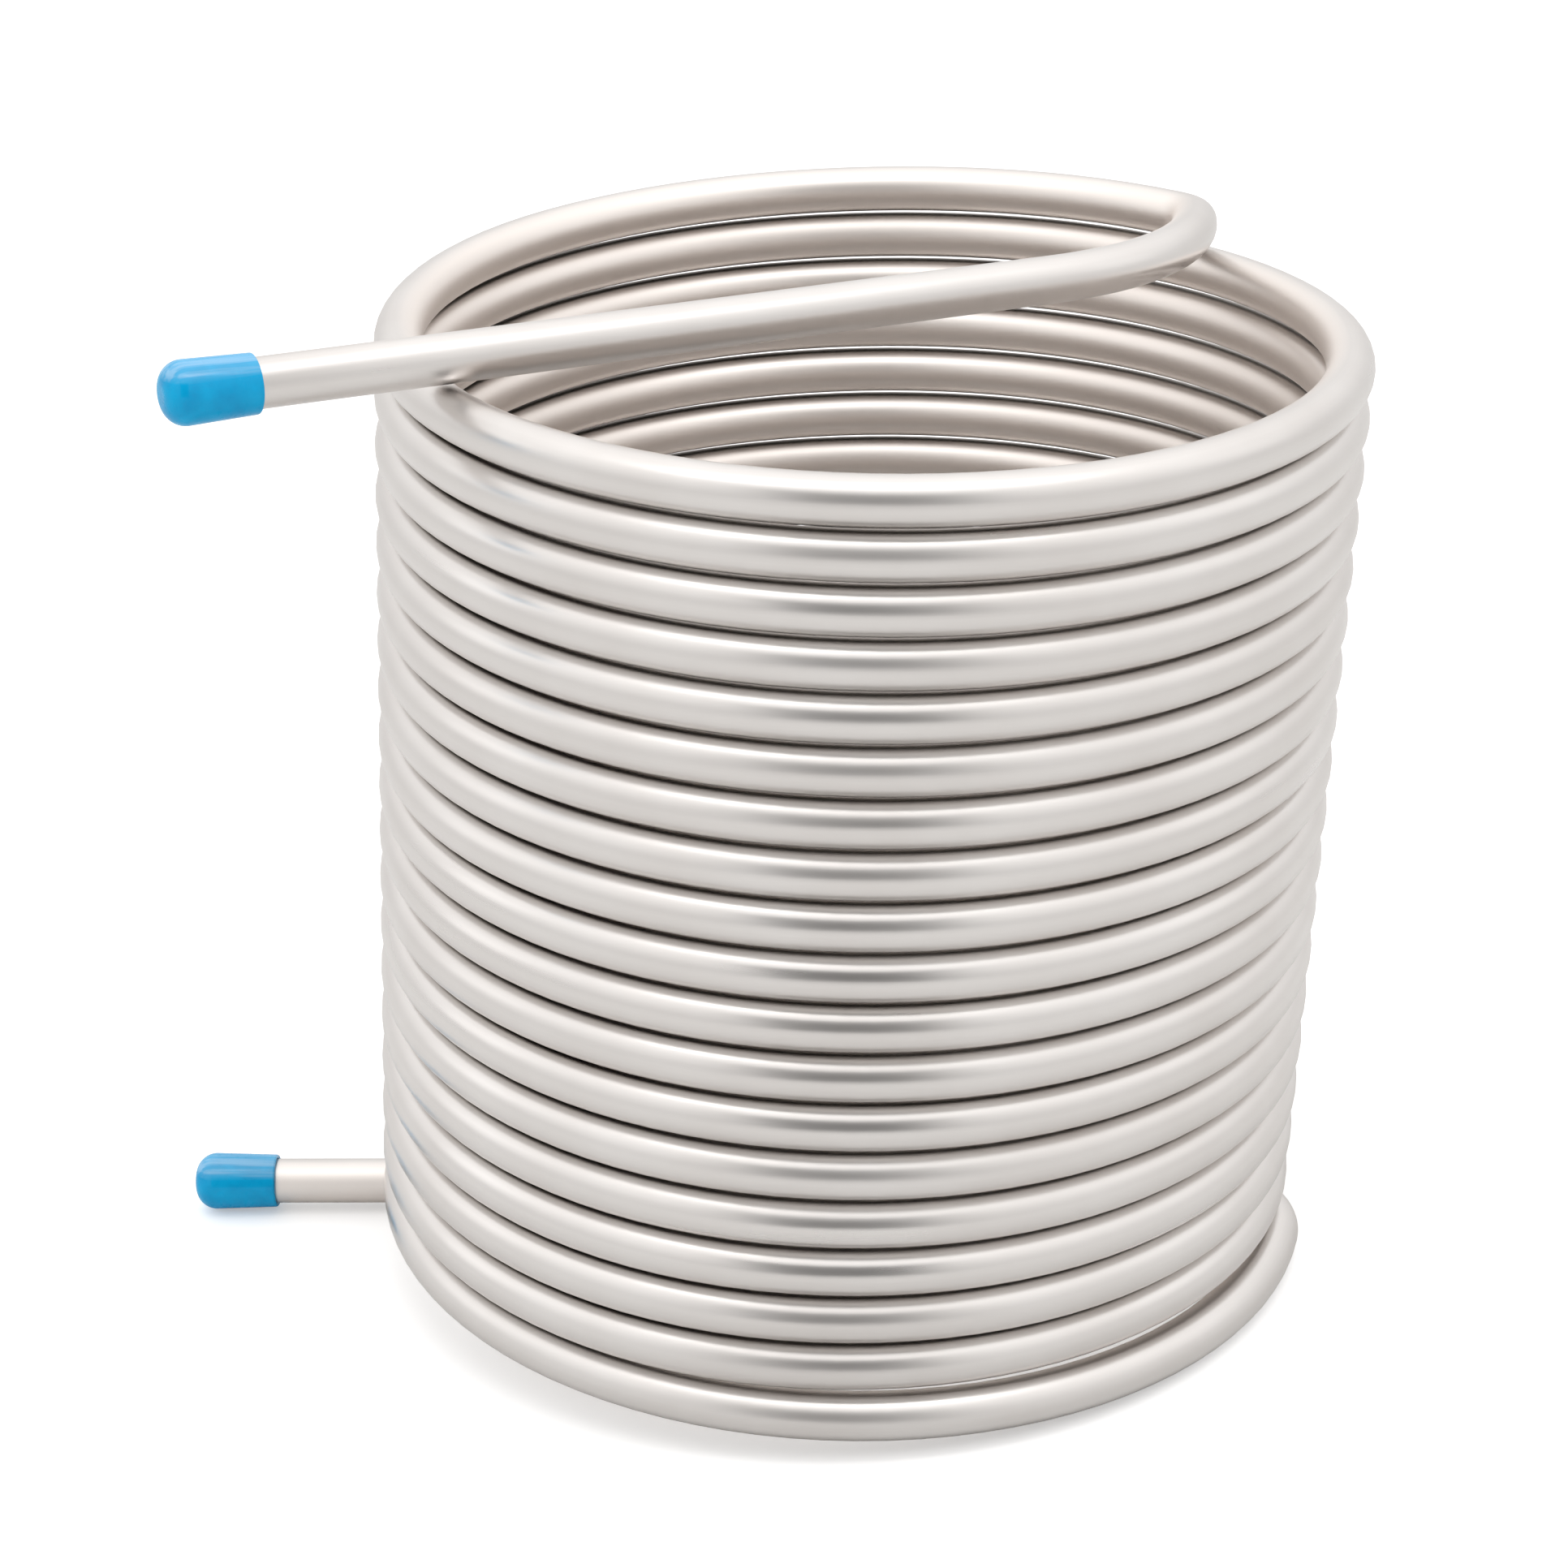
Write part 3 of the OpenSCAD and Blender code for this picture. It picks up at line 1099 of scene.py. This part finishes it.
@dataclass(frozen=True)
class Softbox:
    """A rectangular softbox. Its size is its level width and its other side, in metres."""

    name: str
    place: Triple
    size: Span
    watts: float
    target: Triple = (0.0, 0.0, 0.12)

    def hang(self) -> None:
        """Hangs the softbox so that it faces its target."""
        data = bpy.data.lights.new(f"{self.name}_softbox", "AREA")
        data.shape = "RECTANGLE"
        data.size, data.size_y = self.size
        data.energy = self.watts
        light = bpy.data.objects.new(data.name, data)
        aim = Vector(self.target) - Vector(self.place)
        light.rotation_euler = aim.to_track_quat("-Z", "Y").to_euler()
        light.location = self.place
        bpy.context.scene.collection.objects.link(light)


@dataclass(frozen=True)
class LightTent:
    """A tent of pale cloth all round, brighter overhead, with a dark opening in front.

    Directions are measured by their shares along the front, side and upright axes.

    Attributes:
        low: Brightness of the cloth low down.
        high: Its brightness overhead.
        rise: Where the cloth starts to brighten and is brightest, along the upright.
        opening: Brightness in the opening.
        opening_width: Where the opening starts to fade and ends, along the side axis.
        opening_middle: Middle of the opening, along the upright.
        opening_height: Where it starts to fade and ends, measured from its middle.
    """

    cloth: Triple = (1.0, 0.992, 0.985)
    low: float = 0.86
    high: float = 1.32
    rise: Span = (0.14, 0.86)
    front: Triple = (0.0551, -0.9985, 0.0)
    side: Triple = (0.9985, 0.0551, 0.0)
    upright: Triple = (0.0, 0.0, 1.0)
    opening: float = 0.16
    opening_width: Span = (0.24, 0.39)
    opening_middle: float = 0.36
    opening_height: Span = (0.32, 0.42)

    def put_up(self) -> None:
        """Puts up the tent as the scene's world."""
        world = bpy.data.worlds.new("studio_tent")
        bpy.context.scene.world = world
        world.use_nodes = True
        nodes = NodeGraph(world.node_tree)
        way = nodes.add("ShaderNodeTexCoord").outputs["Generated"]

        def near_zero(value: Socket, edge: Span) -> Socket:
            """Is 1 where the value is small and eases to 0 where it is large."""
            size = nodes.maths("ABSOLUTE", value)
            return nodes.ranged(size, edge, (1.0, 0.0), Course.EASED)

        height = nodes.share_along(way, self.upright)
        ahead = nodes.maths("GREATER_THAN", nodes.share_along(way, self.front), 0.0)
        sideways = near_zero(nodes.share_along(way, self.side), self.opening_width)
        off_middle = nodes.maths("SUBTRACT", height, self.opening_middle)
        upwards = near_zero(off_middle, self.opening_height)
        opening = nodes.maths("MULTIPLY", nodes.maths("MULTIPLY", sideways, upwards), ahead)
        brightness = nodes.ranged(height, self.rise, (self.low, self.high))
        background = world.node_tree.nodes["Background"]
        nodes.feed(background.inputs["Color"], (*self.cloth, 1.0))
        nodes.feed(background.inputs["Strength"], nodes.mixed(opening, brightness, self.opening))


@dataclass
class Studio:
    """A pale floor in soft light from all round, and the camera.

    Attributes:
        floor_gap: How far the floor lies under the piece, so that the two don't touch.
        sensor: Width of the camera's sensor, in millimetres.
        focal_pixels: Focal length, counted in the pixels of a frame that is frame_pixels wide.
        nearest: Nearest distance that the camera sees.
    """

    tent: LightTent = LightTent()
    softboxes: tuple[Softbox, ...] = (
        Softbox("overhead", (0.05, -0.35, 1.5), (1.3, 0.2), 2.7),
        Softbox("left", (-1.6, 0.1, 0.9), (0.7, 0.7), 0.45),
        Softbox("right", (1.6, 0.1, 0.9), (0.7, 0.7), 0.2),
    )
    floor_size: float = 36.0
    floor_gap: float = 0.0002
    sensor: float = 36.0
    focal_pixels: float = 4664.0
    frame_pixels: float = 1932.0
    nearest: float = 0.01
    camera_place: Triple = (0.060587, -0.952638, 0.528089)
    camera_right: Triple = (0.99859467, 0.04129376, -0.03321897)
    camera_up: Triple = (0.01472516, 0.38594027, 0.92240624)

    def build(self) -> None:
        """Lays the floor, puts up the lights and sets the camera."""
        self._lay_floor()
        self.tent.put_up()
        for softbox in self.softboxes:
            softbox.hang()
        self._set_camera()
        bpy.context.scene.view_settings.view_transform = "Standard"

    def _lay_floor(self) -> None:
        """Lays the floor, which isn't part of the object."""
        shape = bmesh.new()
        bmesh.ops.create_grid(
            shape,
            x_segments=2,
            y_segments=2,
            size=self.floor_size / 2,
            matrix=Matrix.Translation((0, 0, -self.floor_gap)),
        )
        floor = finished_object("studio_floor", shape, smooth=False)
        floor.data.materials.append(PaleFloor().material())

    def _set_camera(self) -> None:
        """Sets the camera."""
        data = bpy.data.cameras.new("studio_camera")
        data.sensor_width = self.sensor
        data.lens = self.focal_pixels / self.frame_pixels * self.sensor
        data.clip_start = self.nearest
        camera = bpy.data.objects.new("studio_camera", data)
        right, up = Vector(self.camera_right), Vector(self.camera_up)
        camera.matrix_world = column_matrix((right, up, right.cross(up), self.camera_place))
        bpy.context.scene.collection.objects.link(camera)
        bpy.context.scene.camera = camera


def main() -> None:
    """Builds the studio and the chiller, and reports each piece."""
    logging.basicConfig(level=logging.INFO, format="%(name)s: %(message)s")
    Studio().build()
    line = CentreLine()
    pieces = [ChillerTube(line).build()]
    vinyl = DippedVinyl()
    pieces += [PushOnCap(which, line, vinyl).build() for which in End]
    for piece in pieces:
        LOG.info("%s: %d faces", piece.name, len(piece.data.polygons))


if __name__ == "__main__":
    main()
